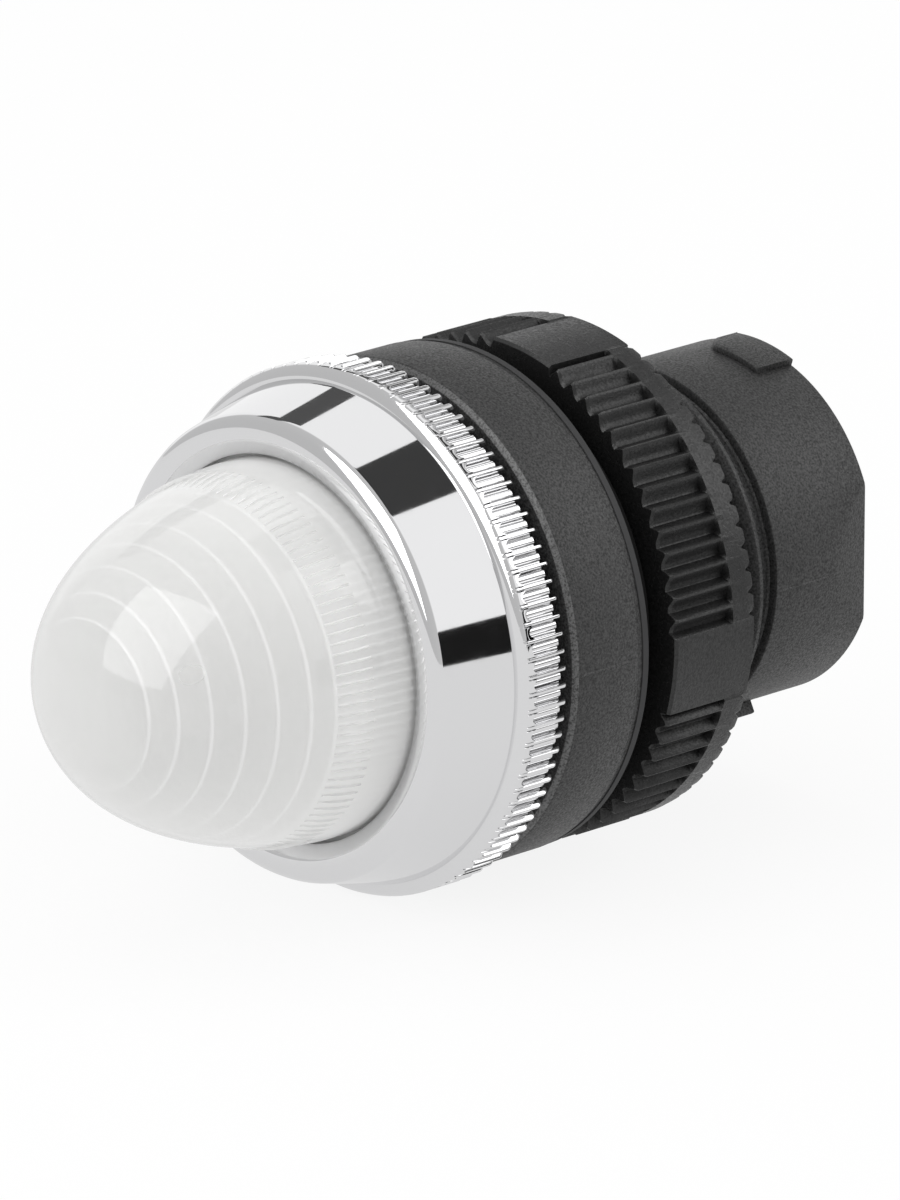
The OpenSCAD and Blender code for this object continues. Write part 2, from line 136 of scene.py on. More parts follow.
def clearSkin():
    # polished acrylic skin of the lens: full gloss over thinly milky clear plastic,
    # so the steps and ribs inside show as crisp lines
    material, tree = newMaterial("clearSkin")
    place = {"Vector": addNode(tree, "ShaderNodeTexCoord").outputs["Object"]}
    flow = addNode(tree, "ShaderNodeTexNoise", {"Scale": 1 / (11.1 * mm), "Detail": 1.0}, place)
    bump = addNode(tree, "ShaderNodeBump", {"Strength": 0.05, "Distance": 0.03 * mm},
                   {"Height": flow.outputs["Fac"]})
    wavy = {"Normal": bump.outputs["Normal"]}
    milk = addNode(tree, "ShaderNodeBsdfDiffuse", {"Color": toLinear("E8E8E7")})
    clear = addNode(tree, "ShaderNodeBsdfTransparent", {"Color": toLinear("FDFDFD")})
    # looked at along the wall, there is more milk in the way
    facing = addNode(tree, "ShaderNodeLayerWeight", {"Blend": 0.5})
    share = addNode(tree, "ShaderNodeMapRange",
                    {"From Min": 0.0, "From Max": 1.0, "To Min": 0.3, "To Max": 0.95},
                    {"Value": facing.outputs["Facing"]})
    body = addNode(tree, "ShaderNodeMixShader", None,
                   {0: share.outputs["Result"], 1: clear.outputs[0], 2: milk.outputs[0]})
    gloss = addNode(tree, "ShaderNodeBsdfGlossy", {"Color": toLinear("FFFFFF"), "Roughness": 0.03}, wavy)
    edge = addNode(tree, "ShaderNodeFresnel", {"IOR": 1.49}, wavy)
    glossy = addNode(tree, "ShaderNodeMixShader", None,
                     {0: edge.outputs[0], 1: body.outputs[0], 2: gloss.outputs[0]})
    through = addNode(tree, "ShaderNodeBsdfTransparent")
    path = addNode(tree, "ShaderNodeLightPath")
    skin = addNode(tree, "ShaderNodeMixShader", None,
                   {0: path.outputs["Is Shadow Ray"], 1: glossy.outputs[0], 2: through.outputs[0]})
    addNode(tree, "ShaderNodeOutputMaterial", None, {"Surface": skin.outputs[0]})
    return material


def opalPlastic(name, colour, glow):
    # opal inside of the lens: dense white plastic with a painted glow, as the lens is no lamp; the step edges
    # and ribs take a lighter copy that glows more, a painted highlight
    material, tree = newMaterial(name)
    place = {"Vector": addNode(tree, "ShaderNodeTexCoord").outputs["Object"]}
    cloud = addNode(tree, "ShaderNodeTexNoise", {"Scale": 1 / (7.14 * mm), "Detail": 2.0}, place)
    tone = addNode(tree, "ShaderNodeMapRange",
                   {"From Min": 0.3, "From Max": 0.7, "To Min": 0.97, "To Max": 1.0},
                   {"Value": cloud.outputs["Fac"]})
    white = addNode(tree, "ShaderNodeMix",
                    {"data_type": "RGBA", "blend_type": "MULTIPLY", 0: 1.0, 6: toLinear(colour)},
                    {7: tone.outputs["Result"]})
    shader = addNode(tree, "ShaderNodeBsdfPrincipled",
                     {"Roughness": 0.5, "IOR": 1.3, "Emission Color": toLinear("FFFFFF"),
                      "Emission Strength": glow}, {"Base Color": white.outputs[2]})
    addNode(tree, "ShaderNodeOutputMaterial", None, {"Surface": shader.outputs["BSDF"]})
    return material


def plainMetal(name, colour, roughness, grainMm):
    # small plated or drawn metal parts: satin, with fine uneven drawing marks
    material, tree = newMaterial(name)
    place = {"Vector": addNode(tree, "ShaderNodeTexCoord").outputs["Object"]}
    marks = addNode(tree, "ShaderNodeTexNoise", {"Scale": 1 / (grainMm * mm), "Detail": 4.0}, place)
    rough = addNode(tree, "ShaderNodeMapRange",
                    {"From Min": 0.3, "From Max": 0.7, "To Min": roughness - 0.07, "To Max": roughness + 0.1},
                    {"Value": marks.outputs["Fac"]})
    bump = addNode(tree, "ShaderNodeBump", {"Strength": 0.2, "Distance": 0.01 * mm},
                   {"Height": marks.outputs["Fac"]})
    shader = addNode(tree, "ShaderNodeBsdfPrincipled", {"Base Color": toLinear(colour), "Metallic": 1.0},
                     {"Roughness": rough.outputs["Result"], "Normal": bump.outputs["Normal"]})
    addNode(tree, "ShaderNodeOutputMaterial", None, {"Surface": shader.outputs["BSDF"]})
    return material


def plainMoulding(name, colour, roughness, grainMm):
    # small inner mouldings, rubber and board: an even colour with a light mottle
    material, tree = newMaterial(name)
    place = {"Vector": addNode(tree, "ShaderNodeTexCoord").outputs["Object"]}
    marks = addNode(tree, "ShaderNodeTexNoise", {"Scale": 1 / (grainMm * mm), "Detail": 3.0}, place)
    tone = addNode(tree, "ShaderNodeMapRange",
                   {"From Min": 0.3, "From Max": 0.7, "To Min": 0.88, "To Max": 1.05},
                   {"Value": marks.outputs["Fac"]})
    paint = addNode(tree, "ShaderNodeMix",
                    {"data_type": "RGBA", "blend_type": "MULTIPLY", 0: 1.0, 6: toLinear(colour)},
                    {7: tone.outputs["Result"]})
    bump = addNode(tree, "ShaderNodeBump", {"Strength": 0.25, "Distance": 0.02 * mm},
                   {"Height": marks.outputs["Fac"]})
    shader = addNode(tree, "ShaderNodeBsdfPrincipled", {"Roughness": roughness, "IOR": 1.5},
                     {"Base Color": paint.outputs[2], "Normal": bump.outputs["Normal"]})
    addNode(tree, "ShaderNodeOutputMaterial", None, {"Surface": shader.outputs["BSDF"]})
    return material


chrome = chromePlating()
# the eroded mould leaves the housing dull and its trimmed flange corner smoother; the corner's lighter colour
# is a painted highlight
housingPlastic = sparkErodedPlastic("sparkErodedNylon", "2A2A2A", 0.5, 0.13, 0.035)
litCornerPlastic = sparkErodedPlastic("cornerNylonPaintedHighlight", "4A4A4A", 0.34, 0.13, 0.01)
nutPlastic = sparkErodedPlastic("smoothNylon", "161616", 0.36, 0.15, 0.028)
lensSkin = clearSkin()
# the opal's emission is a painted glow that lights the lens inside
lensCore = opalPlastic("opalCore", "E6E6E5", 0.06)
# the lighter, more glowing copy on the step edges and ribs is a painted highlight
lensEdgeHighlights = opalPlastic("opalEdgeHighlights", "F8F8F8", 0.11)
springSteel = plainMetal("springSteel", "B9BABD", 0.28, 0.25)
print("materials made")


def deselectAll():
    if bpy.context.object and bpy.context.object.mode != "OBJECT":
        bpy.ops.object.mode_set(mode="OBJECT")
    bpy.ops.object.select_all(action="DESELECT")


def makeActive(piece):
    deselectAll()
    piece.select_set(True)
    bpy.context.view_layer.objects.active = piece


def drawProfile(name, points):
    # points are (radius, distance along the light) in mm, drawn in the upright half plane
    # from a plane that is drawn together to the first of them
    spots = [Vector((0, y * mm, r * mm)) for r, y in points]
    deselectAll()
    bpy.ops.mesh.primitive_plane_add(size=mm, location=spots[0])
    piece = bpy.context.object
    piece.name = piece.data.name = name
    bpy.ops.object.transform_apply(location=True, rotation=True, scale=True)
    bpy.ops.object.mode_set(mode="EDIT")
    bpy.ops.mesh.select_all(action="SELECT")
    bpy.ops.mesh.merge(type="CENTER")
    for here, there in zip(spots, spots[1:]):
        bpy.ops.mesh.extrude_region_move(TRANSFORM_OT_translate={"value": there - here})
    bpy.ops.mesh.select_all(action="SELECT")
    return piece


def spinOn(steps, degrees, copies=False):
    # the operator counts its angle the other way round the axis
    angle = -math.radians(degrees)
    bpy.ops.mesh.spin(steps=steps, dupli=copies, angle=angle, center=(0, 0, 0), axis=(0, 1, 0))


def weld():
    bpy.ops.mesh.select_all(action="SELECT")
    bpy.ops.mesh.remove_doubles(threshold=weldGap)


def tidyMesh():
    weld()
    bpy.ops.mesh.normals_make_consistent(inside=False)


def copyRound(sections):
    # the section in hand is repeated until it closes the ring
    bpy.ops.mesh.select_all(action="SELECT")
    spinOn(sections - 1, 360 * (sections - 1) / sections, copies=True)
    tidyMesh()


def turnOn(degrees):
    # with no window the operator turns the other way, so this goes from the top towards +X
    bpy.ops.mesh.select_all(action="SELECT")
    bpy.ops.transform.rotate(value=-math.radians(degrees), orient_axis="Y", center_override=(0, 0, 0))


def scaleOut(factor):
    bpy.ops.transform.resize(value=(factor, 1, factor), center_override=(0, 0, 0))


def moveBy(x, y, z):
    bpy.ops.transform.translate(value=(x * mm, y * mm, z * mm))


def atTurn(turn, place, slack=0.02):
    return abs((turn - place + 180) % 360 - 180) < slack


def selectWhere(piece, test):
    # selects the vertices whose radius and distance in mm, and turn from the top in degrees, pass
    mesh = bmesh.from_edit_mesh(piece.data)
    for vertex in mesh.verts:
        r = math.hypot(vertex.co.x, vertex.co.z) / mm
        turn = math.degrees(math.atan2(vertex.co.x, vertex.co.z)) % 360
        vertex.select_set(test(r, vertex.co.y / mm, turn))
    mesh.select_flush_mode()
    bmesh.update_edit_mesh(piece.data)


def spinColumns(piece, places, axisToo=False):
    # each column of points is spun on from the last one, to its place in degrees
    for here, there in zip(places, places[1:]):
        selectWhere(piece, lambda r, y, t: atTurn(t, here) or axisToo and r < 0.001)
        spinOn(1, there - here)


def paintFaces(piece, materials, choose):
    # choose gives the material's number from a face's radius, distance and turn
    bpy.ops.object.mode_set(mode="OBJECT")
    for material in materials:
        piece.data.materials.append(material)
    for face in piece.data.polygons:
        x, y, z = face.center / mm
        face.material_index = choose(math.hypot(x, z), y, math.degrees(math.atan2(x, z)) % 360)


def rideAs(piece, material, body, replaced, sharp=35):
    bpy.ops.object.mode_set(mode="OBJECT")
    makeActive(piece)
    bpy.ops.object.shade_smooth_by_angle(angle=math.radians(sharp))
    if material:
        piece.data.materials.append(material)
    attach(piece, body)
    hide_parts(replaced)
    print(piece.name, len(piece.data.polygons), "faces")


def carve(piece, other, operation):
    makeActive(piece)
    change = piece.modifiers.new("carve", "BOOLEAN")
    change.operation = operation
    change.solver = "EXACT"
    change.object = other
    bpy.ops.object.modifier_apply(modifier="carve")
    spare = other.data
    bpy.data.objects.remove(other)
    bpy.data.meshes.remove(spare)
    bpy.ops.object.mode_set(mode="EDIT")


# sizes are in mm from here on; steps stand at shares of the dome's height,
# and between them the inside wall lies a little deeper
lensSettings = {
    "baseY": -14.17, "height": 14.9, "radius": 10.7, "fullness": 1.64, "noseDraw": 2.43, "rows": 30,
    "wall": 0.3, "footRadius": 12.1, "footFront": -13.3, "footRear": -12.2, "footWall": 1.0,
    "ribs": 112, "ribDepth": 0.13, "ribColumns": [0, 0.36, 0.5, 0.64, 1],
    "stepHeights": [0.294, 0.39, 0.512, 0.624, 0.73, 0.825, 0.897],
    "lipStart": 0.02, "lipEnd": 0.18, "lipIn": 0.1, "edgeReach": 0.12,
    "deeper": 0.12, "deeperAt": (0.35, 0.7), "noseAt": (0.25, 0.5, 0.75), "noseLeast": 0.3,
}


def domeRadius(s):
    c = lensSettings
    return c["radius"] * (1 - s ** c["fullness"]) ** (1 / c["noseDraw"])


def domeY(s):
    return lensSettings["baseY"] - lensSettings["height"] * s


def lensOutside():
    c = lensSettings
    rows = [math.sin(math.pi / 2 * i / c["rows"]) for i in range(c["rows"] - 1, -1, -1)]
    foot = [(c["radius"], c["footFront"]), (c["footRadius"], c["footFront"])]
    foot += [(c["footRadius"], c["footRear"])]
    return [(0, domeY(1))] + [(domeRadius(s), domeY(s)) for s in rows] + foot


def lensInside():
    c = lensSettings
    steps, wall = c["stepHeights"], c["wall"]
    inner = c["radius"] - wall
    points = [(inner, c["footRear"]), (inner, c["footRear"] - c["footWall"]), (inner, c["baseY"])]
    points += [(domeRadius(s) - wall, domeY(s)) for s in (steps[0] / 2, steps[0])]
    for i, s in enumerate(steps):
        r, y = domeRadius(s) - wall, domeY(s)
        points += [(r, y - c["lipStart"]), (r - c["lipIn"], y - c["lipEnd"])]
        for part in c["deeperAt"] if s < steps[-1] else ():
            between = s + (steps[i + 1] - s) * part
            points.append((domeRadius(between) - wall - c["deeper"] * (1 - part), domeY(between)))
    noseEnd = 1 - wall / c["height"]
    for part in c["noseAt"]:
        s = steps[-1] + (noseEnd - steps[-1]) * part
        points.append((max(domeRadius(s) - wall - c["lipIn"], c["noseLeast"]), domeY(s) + c["lipIn"]))
    return points + [(0, domeY(noseEnd))]


def makeLens():
    c = lensSettings
    inner = c["radius"] - c["wall"]
    ribEnd = domeY(c["stepHeights"][0])
    footStart = c["footRear"] - 0.9 * c["footWall"]
    pitch = 360 / c["ribs"]
    piece = drawProfile("lensDome", lensOutside() + lensInside())
    spinColumns(piece, [part * pitch for part in c["ribColumns"]], axisToo=True)
    selectWhere(piece, lambda r, y, t: atTurn(t, pitch / 2) and r < inner + 0.02
                and ribEnd - 0.01 < y < footStart + 0.1)
    scaleOut(1 + c["ribDepth"] / inner)
    copyRound(c["ribs"])

    def insideOrEdge(r, y, turn):
        # 0 is the skin outside, 1 the opal inside and 2 its step edges and ribs, lighter as a painted
        # highlight
        s = min(max((c["baseY"] - y) / c["height"], 0), 1)
        skin = domeRadius(s) - c["wall"] * 0.6 if y < footStart else inner + 0.02
        if r >= skin:
            return 0
        onStep = min(abs(s - step) * c["height"] for step in c["stepHeights"]) < c["edgeReach"]
        onRib = ribEnd < y < c["baseY"] + 1 and c["ribColumns"][1] < turn / pitch % 1 < c["ribColumns"][3]
        return 2 if onStep or onRib else 1
    paintFaces(piece, [lensSkin, lensCore, lensEdgeHighlights], insideOrEdge)
    rideAs(piece, None, "front_lens", "lens", sharp=28)


bezelSettings = {
    "rear": -6.0, "bore": 12.25, "ledge": -13.35, "mouth": 10.9, "mouthY": -13.95,
    "lip": [(11.62, -14.38), (11.72, -14.44), (11.86, -14.46), (12.1, -14.455), (12.35, -14.43),
            (12.6, -14.37), (12.83, -14.27), (13.02, -14.12), (13.14, -13.89)],
    "band": [(13.16, -13.81), (13.645, -11.79), (14.131, -9.77), (14.15, -9.69)],
    "collar": [(14.27, -9.68), (14.5, -9.62), (14.74, -9.5), (14.9, -9.34), (14.95, -9.2)],
    "knurls": 96, "phase": 0.25, "crest": 14.95, "ridgeFoot": 14.8, "tailRoot": 13.5,
    "knurlFront": -9.0, "frontRows": (0, 0.07, 0.14), "middle": -7.6,
    "tail": [(14.95, -6.75), (14.9, -6.6), (14.75, -6.46), (14.3, -6.4), (13.4, -6.4), (13.3, -6.0)],
    "tailDrop": {-6.6: 0.2, -6.46: 0.34, -6.4: 0.3},
}
# place in the pitch, radius at mid length, and how far the groove's round front end lies back there
knurlForm = [
    (0.08, 14.93, 0), (0.13, 14.84, 0), (0.16, 14.66, 0.36), (0.185, 14.48, 0.3), (0.23, 14.47, 0.2),
    (0.28, 14.57, 0.13), (0.38, 14.62, 0.04), (0.5, 14.64, 0), (0.62, 14.62, 0.04), (0.72, 14.57, 0.13),
    (0.77, 14.47, 0.2), (0.815, 14.48, 0.3), (0.84, 14.66, 0.36), (0.87, 14.84, 0), (0.92, 14.93, 0),
]


def makeBezel():
    c = bezelSettings
    front, pitch = c["knurlFront"], 360 / c["knurls"]
    profile = [(c["bore"], c["rear"]), (c["bore"], c["ledge"])]
    profile += [(c["mouth"], c["ledge"]), (c["mouth"], c["mouthY"])]
    profile += c["lip"] + c["band"] + c["collar"] + [(c["crest"], front + row) for row in c["frontRows"]]
    profile += [(c["crest"], c["middle"])] + c["tail"] + [(c["bore"], c["rear"])]
    piece = drawProfile("bezelRing", profile)
    spinColumns(piece, [place * pitch for place in [0] + [form[0] for form in knurlForm] + [1]])
    for place, radius, back in knurlForm:
        # a groove starts behind the first row, and a ridge's sides begin in the collar
        low = radius < c["ridgeFoot"]
        firstY = front + (0.05 if low else -0.3)

        def inColumn(r, turn):
            return atTurn(turn, place * pitch) and r > c["tailRoot"]
        selectWhere(piece, lambda r, y, t: inColumn(r, t) and firstY < y < c["rear"] - 0.05)
        scaleOut(radius / c["crest"])
        if low:
            for tailY, drop in c["tailDrop"].items():
                selectWhere(piece, lambda r, y, t: inColumn(r, t) and abs(y - tailY) < 0.01)
                scaleOut(1 - drop / radius)
            selectWhere(piece, lambda r, y, t: inColumn(r, t) and front - 0.01 < y < front + 0.15)
            moveBy(0, back, 0)
    copyRound(c["knurls"])
    turnOn(c["phase"])
    rideAs(piece, chrome, "front_bezel", "bezel", sharp=40)


nutSettings = {
    "front": 2.2, "rear": 8.15, "bore": 11.05, "crest": 14.45, "depth": 0.56, "middle": 4.3, "wallY": 6.35,
    "band": 14.4, "positions": 72, "patchSkip": 3, "patch": 14.33, "patchColumns": (0.0, 0.22, 0.48, 0.73),
    "patchEnd": [(0.14, "patch", 1.0), (0.05, "tooth", 0.75)], "lastFlank": 0.14, "flankRunOut": 3,
    "turned": 7.5, "notch": 0.47, "notchSpread": 5.5,
}
# place in the pitch from a root, and how deep the serration is there:
# a short steep flank up, a long one down
toothForm = [
    (0.0, 1.0), (0.05, 0.97), (0.13, 0.68), (0.22, 0.36), (0.3, 0.1), (0.35, 0.0),
    (0.4, 0.03), (0.48, 0.2), (0.6, 0.5), (0.73, 0.78), (0.86, 0.93), (0.95, 0.97),
]


def nutColumns():
    # a quarter of the nut: teeth, then a smooth patch where the last few would be
    c = nutSettings
    quarter = c["positions"] // 4
    lastTooth = quarter - c["patchSkip"] - 1
    columns = []
    for i in range(quarter):
        for part, deep in toothForm:
            if i < lastTooth:
                columns.append((i + part, "tooth", deep))
            elif i == lastTooth and part < c["lastFlank"]:
                columns.append((i + part, "tooth", deep * (1 - part * c["flankRunOut"])))
            elif part in c["patchColumns"]:
                columns.append((i + part, "patch", 1.0))
    columns += [(quarter - before, kind, deep) for before, kind, deep in c["patchEnd"]]
    return columns + [(quarter, "tooth", 1.0)]


def makeNut():
    c = nutSettings
    bore, crest, band = c["bore"], c["crest"], c["band"]
    front, rear, wallY = c["front"], c["rear"], c["wallY"]
    pitch = 360 / c["positions"]
    profile = [
        (bore, rear - 0.8), (bore, front + 0.5), (bore + 0.5, front), (crest - c["depth"] - 0.25, front),
        (crest - 0.16, front), (crest, front + 0.16), (crest, c["middle"]), (crest, wallY - 0.06),
        (crest + 0.001, wallY), (band, wallY + 0.1), (band, rear - 0.65), (band, rear - 0.5),
        (band - 0.06, rear - 0.08), (band - 0.14, rear), (band - 0.75, rear), (bore + 0.7, rear - 0.1),
        (bore, rear - 0.8),
    ]
    piece = drawProfile("lockNut", profile)
    columns = nutColumns()
    spinColumns(piece, [place * pitch for place, _, _ in columns])
    for place, kind, deep in columns:
        drop = deep * c["depth"] if kind == "tooth" else crest - c["patch"]

        def inColumn(turn):
            return atTurn(turn, place * pitch)
        if drop > 0:
            selectWhere(piece, lambda r, y, t: inColumn(t) and r > crest - 0.2 and y < wallY + 0.01)
            scaleOut(1 - drop / crest)
        if kind == "patch":
            selectWhere(piece, lambda r, y, t: inColumn(t) and r > band - 0.01 and y > wallY + 0.01)
            scaleOut(c["patch"] / band)
        # the rear edge is notched in line with each root
        fromRoot = min(place % 1, 1 - place % 1)
        notched = 1 - c["notchSpread"] * fromRoot if kind == "tooth" else 0
        if notched > 0:
            selectWhere(piece, lambda r, y, t: inColumn(t) and r > band - 0.2 and y > rear - 0.45)
            moveBy(0, -c["notch"] * notched, 0)
    copyRound(4)
    turnOn(c["turned"] + (c["patchSkip"] + 1) / 2 * pitch)
    rideAs(piece, nutPlastic, "nut", "lock_nut", sharp=32)


housingSettings = {
    "bossIn": 10.9, "bossFront": -11.6, "bossRadius": 12.2, "bossRear": -6.3, "bossCorner": 0.25,
    "flangeRadius": 14.5, "flangeFront": -5.5, "flangeChamfer": 0.3,
    "gasketLine": -0.4, "gasketIn": 0.12, "neckRadius": 11.0, "neckRoot": 10.1, "land": 1.7,
    "pitch": 1.5, "lastCrest": 11.9, "crests": 7, "crestForm": [(0.9, -0.6), (0.06, -0.17), (0, -0.09)],
    "groove": 9.45, "grooveFrom": 12.75, "sleeveFrom": 13.95, "sleeveTo": 21.6, "sleeveRadius": 10.1,
    "bore": 8.2, "boreFrom": -4, "boreTo": 12.5, "rearBore": 8.9,
    "catchFrom": 15.2, "catchTo": 16.4, "catchDepth": 0.3,
    "step": 2.5, "seamWidth": 0.35, "seamHeight": 0.05, "flangeSeam": 90, "sleeveSeam": 93,
    "flatFrom": 18.6, "flatDepth": 0.87, "flatCutter": (3, 8, 16), "cutterBack": 2.5, "lugRoot": 9.6,
}
# turn and degrees are the middle and the width round the sleeve; corner rounds the outer edges,
# and endCorner the front corner at the end where the turn begins
lugSettings = {
    "outer": 10.5, "front": 18.85, "rear": 21.6, "turn": 6, "degrees": 26, "corner": 0.2, "endCorner": 1.7,
}
keySettings = {
    "outer": 10.85, "front": 14.45, "rear": 17.35, "turn": 180, "degrees": 54, "corner": 0.12, "endCorner": 0,
}


def makeArcBlock(name, c):
    # a raised lug: a rectangle spun part of the way, its outer edges rounded over, less so at the rear
    inner, outer, front, rear = housingSettings["lugRoot"], c["outer"], c["front"], c["rear"]
    start, end = c["turn"] - c["degrees"] / 2, c["turn"] + c["degrees"] / 2
    piece = drawProfile(name, [(inner, front), (outer, front), (outer, rear), (inner, rear), (inner, front)])
    tidyMesh()
    turnOn(start)
    bpy.ops.mesh.edge_face_add()
    bpy.ops.mesh.select_all(action="SELECT")
    spinOn(c["degrees"], c["degrees"])
    tidyMesh()
    for i in range(c["degrees"] + 1):
        left = c["endCorner"] - math.radians(i) * outer
        if left > 0:
            selectWhere(piece, lambda r, y, t: atTurn(t, start + i, 0.1) and abs(y - front) < 0.01)
            moveBy(0, c["endCorner"] - math.sqrt(c["endCorner"] ** 2 - left ** 2), 0)
    selectWhere(piece, lambda r, y, t: r > outer - 0.02 and not atTurn(t, end, 0.1)
                and (y < rear - 0.01 or atTurn(t, start, 0.1)))
    bpy.ops.mesh.bevel(offset=c["corner"] * mm, segments=3, profile=0.5)
    selectWhere(piece, lambda r, y, t: r > outer - 0.02 and y > rear - 0.01)
    bpy.ops.mesh.bevel(offset=c["corner"] * 0.8 * mm, segments=3, profile=0.5)
    tidyMesh()
    return piece


def housingProfile():
    c = housingSettings
    boss, corner, top, root = c["bossRadius"], c["bossCorner"], c["flangeRadius"], c["neckRoot"]
    front, chamfer, line = c["flangeFront"], c["flangeChamfer"], c["gasketLine"]
    sleeve, start, end = c["sleeveRadius"], c["sleeveFrom"], c["sleeveTo"]
    groove, neck, rearBore = c["groove"], c["neckRadius"], c["rearBore"]
    points = [
        (c["bossIn"], c["bossFront"]), (boss - corner, c["bossFront"]), (boss, c["bossFront"] + corner),
        (boss, c["bossRear"]), (boss - corner, c["bossRear"] + corner), (boss - corner, front),
        (top - chamfer - 0.06, front), (top - chamfer, front + 0.02), (top - 0.05, front + chamfer),
        (top, front + chamfer + 0.1), (top, line - 0.46), (top - 0.03, line - 0.4),
        (top - c["gasketIn"], line - 0.36), (top - c["gasketIn"], line), (root + 0.3, line), (root + 0.3, 0),
        (neck, 0), (neck, c["land"]), (root, c["land"] + 0.4),
    ]
    for i in range(c["crests"] - 1, -1, -1):
        y = c["lastCrest"] - i * c["pitch"]
        points += [(neck - down, y + along) for down, along in c["crestForm"]]
        points += [(neck - down, y - along) for down, along in reversed(c["crestForm"])]
    points += [
        (groove, c["grooveFrom"]), (groove, start - 0.1), (groove + 0.1, start), (sleeve - 0.12, start),
        (sleeve - 0.03, start + 0.05), (sleeve, start + 0.14), (sleeve, c["flatFrom"] - 1),
        (sleeve, end - 0.14), (sleeve - 0.04, end - 0.04), (sleeve - 0.14, end),
        (rearBore + 0.1, end), (rearBore, end - 0.1),
        (rearBore, c["catchTo"]), (rearBore + c["catchDepth"], c["catchTo"]),
        (rearBore + c["catchDepth"], c["catchFrom"]), (rearBore, c["catchFrom"]), (rearBore, c["boreTo"]),
        (c["bore"], c["boreTo"]), (c["bore"], c["boreFrom"]), (c["bossIn"], c["boreFrom"] - 0.6),
        (c["bossIn"], c["bossFront"]),
    ]
    return points


def makeFlatCutter(side):
    c = housingSettings
    lean = math.atan(c["flatDepth"] / (c["sleeveTo"] - c["flatFrom"]))
    wide, along, high = c["flatCutter"]
    deselectAll()
    bpy.ops.mesh.primitive_cube_add(size=1)
    cutter = bpy.context.object
    bpy.ops.object.mode_set(mode="EDIT")
    bpy.ops.mesh.select_all(action="SELECT")
    bpy.ops.transform.resize(value=(wide * mm, along * mm, high * mm), center_override=(0, 0, 0))
    moveBy(side * wide / 2, c["cutterBack"], 0)
    bpy.ops.transform.rotate(value=-lean * side, orient_axis="Z", center_override=(0, 0, 0))
    moveBy(side * c["sleeveRadius"], c["flatFrom"], 0)
    bpy.ops.mesh.normals_make_consistent(inside=False)
    return cutter


def makeHousing():
    c = housingSettings
    top, sleeve = c["flangeRadius"], c["sleeveRadius"]
    piece = drawProfile("housingBody", housingProfile())
    turns = {i * c["step"] for i in range(int(180 / c["step"]) + 1)}
    for seam in (c["flangeSeam"], c["sleeveSeam"]):
        turns |= {seam + side * c["seamWidth"] for side in (-1, 0, 1)}
    spinColumns(piece, sorted(turns))
    # the mould's parting line stands a hair proud on the flange and the sleeve
    selectWhere(piece, lambda r, y, t: atTurn(t, c["flangeSeam"]) and r > top - 0.005
                or atTurn(t, c["sleeveSeam"]) and r > sleeve - 0.005 and y > c["sleeveFrom"])
    scaleOut(1 + c["seamHeight"] / sleeve)
    copyRound(2)
    carve(piece, makeArcBlock("upperLug", lugSettings), "UNION")
    carve(piece, makeArcBlock("lowerKey", keySettings), "UNION")
    for side in (1, -1):
        carve(piece, makeFlatCutter(side), "DIFFERENCE")
    weld()

    # the flange chamfer takes the lighter nylon, a painted highlight
    def onChamfer(r, y, turn):
        front, chamfer = c["flangeFront"], c["flangeChamfer"]
        return int(front + 0.03 < y < front + chamfer - 0.02 and r > top - chamfer - 0.1)
    paintFaces(piece, [housingPlastic, litCornerPlastic], onChamfer)
    rideAs(piece, None, "head", "housing", sharp=30)


springSettings = {
    "coilRadius": 1.45, "wire": 0.16, "wireSides": 10, "from": 12.98, "to": 18.34, "turns": 6.5,
    "steps": 200, "pressed": 0.72,
}


def makeSpring():
    c = springSettings
    deselectAll()
    bpy.ops.mesh.primitive_circle_add(vertices=c["wireSides"], radius=c["wire"] * mm, fill_type="NGON",
                                      location=(c["coilRadius"] * mm, c["from"] * mm, 0))
    piece = bpy.context.object
    piece.name = piece.data.name = "contactCoil"
    bpy.ops.object.transform_apply(location=True, rotation=True, scale=True)
    screw = piece.modifiers.new("coil", "SCREW")
    screw.axis = "Y"
    screw.angle = math.radians(360 * c["turns"])
    screw.steps = screw.render_steps = c["steps"]
    screw.screw_offset = (c["to"] - c["from"]) * mm
    bpy.ops.object.modifier_apply(modifier="coil")
    bpy.ops.object.mode_set(mode="EDIT")
    tidyMesh()
    rideAs(piece, springSteel, "head", "contact_spring")
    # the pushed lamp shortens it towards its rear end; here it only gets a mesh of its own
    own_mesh(piece)


makeLens()
makeBezel()
makeNut()
makeHousing()
makeSpring()

# these keep their CAD meshes; each finish is used on every node in its row
nitrile = plainMoulding("nitrileSeal", "2B2B2C", 0.7, 1.11)
nickel = plainMetal("nickelPlatedBrass", "C9C3B1", 0.25, 0.67)
brass = plainMetal("turnedBrass", "CFB070", 0.25, 0.33)
zinc = plainMetal("zincPlatedSteel", "B7BABD", 0.32, 0.45)
cadFinishes = {
    "thrust_washer": plainMoulding("acetalWasher", "0B0B0B", 0.85, 1.11),
    "lens_seal": nitrile,
    "panel_gasket": nitrile,
    "lamp_bulb": plainMoulding("frostedEnvelope", "EDEDE6", 0.3, 3.33),
    "lamp_leds": plainMoulding("phosphorResin", "E9D77A", 0.35, 0.4),
    "lamp_board": plainMoulding("solderMask", "1F5F3A", 0.4, 0.5),
    "lamp_cap": nickel,
    "lamp_insulator": plainMoulding("blackGlass", "101014", 0.15, 1.43),
    "lamp_tip": plainMetal("solderTip", "B4B4B6", 0.35, 0.4),
    "socket_shell": nickel,
    "socket_carrier": plainMoulding("phenolicCarrier", "D9D4C4", 0.5, 0.83),
    "contact_plunger": brass,
    "centre_terminal": brass,
    "shell_terminal": brass,
    "terminal_clamps": zinc,
    "terminal_screws": zinc,
}
for nodeName, finish in cadFinishes.items():
    mesh = nodes[nodeName].data
    mesh.materials.clear()
    mesh.materials.append(finish)
print("carried-over parts finished")

